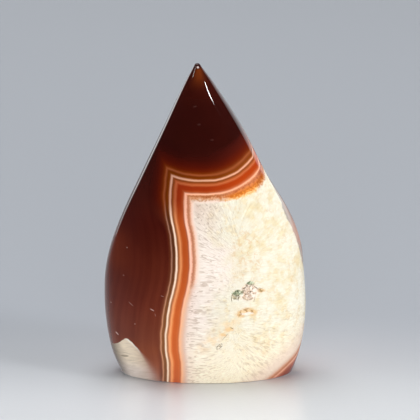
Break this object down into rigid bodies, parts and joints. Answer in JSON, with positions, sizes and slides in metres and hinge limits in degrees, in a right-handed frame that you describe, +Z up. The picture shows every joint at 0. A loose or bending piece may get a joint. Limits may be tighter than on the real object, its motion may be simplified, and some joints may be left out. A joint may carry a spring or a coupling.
{
  "type": "polished agate flame carving",
  "caption": "Polished teardrop flame of banded carnelian agate with a white quartz core, standing upright on a small flat base.",
  "frame": {"origin": "middle of the flat that the stone stands on", "axes": "+Z up towards the tip, -Y out of the broad front face, +X to the right seen from the front"},
  "size_m": [0.0575, 0.0372, 0.09],
  "materials": {
    "agate": "high polish: dark red carnelian with fine cream and orange bands round a white crystalline quartz core"
  },
  "bodies": {
    "root": {"flame": "agate"}
  },
  "joints": []
}
